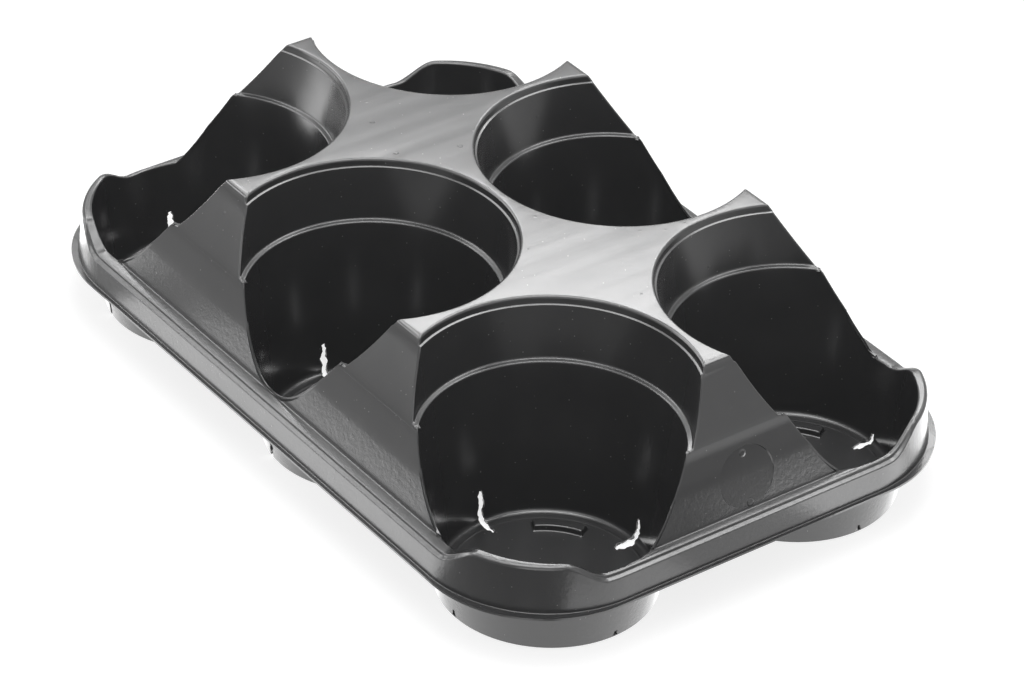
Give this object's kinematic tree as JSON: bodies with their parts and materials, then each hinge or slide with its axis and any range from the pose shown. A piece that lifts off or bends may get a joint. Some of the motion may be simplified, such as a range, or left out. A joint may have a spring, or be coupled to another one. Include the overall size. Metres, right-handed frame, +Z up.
{
  "type": "pot carry tray",
  "caption": "Thin black plastic carry tray with tapered round pot wells, a raised web deck, sloping gussets, corner lips and a low outer skirt.",
  "frame": {"origin": "on the surface the tray stands on, under the middle of the tray", "axes": "+X along the long side, through the wells of one row; +Y across the rows; +Z up"},
  "size_m": [0.3824, 0.2572, 0.102],
  "materials": {
    "tray_plastic": "satin"
  },
  "bodies": {
    "root": {"deck": "tray_plastic", "gusset_front_left": "tray_plastic", "gusset_front_right": "tray_plastic", "gusset_back_left": "tray_plastic", "gusset_back_right": "tray_plastic", "gusset_left_end": "tray_plastic", "gusset_right_end": "tray_plastic", "rim_ledge": "tray_plastic", "rim_skirt": "tray_plastic", "trim_flange": "tray_plastic", "lip_front_left": "tray_plastic", "lip_front_right": "tray_plastic", "lip_back_left": "tray_plastic", "lip_back_right": "tray_plastic", "well_wall_front_left": "tray_plastic", "well_wall_front_middle": "tray_plastic", "well_wall_front_right": "tray_plastic", "well_wall_back_left": "tray_plastic", "well_wall_back_middle": "tray_plastic", "well_wall_back_right": "tray_plastic", "well_floor_front_left": "tray_plastic", "well_floor_front_middle": "tray_plastic", "well_floor_front_right": "tray_plastic", "well_floor_back_left": "tray_plastic", "well_floor_back_middle": "tray_plastic", "well_floor_back_right": "tray_plastic"}
  },
  "joints": []
}
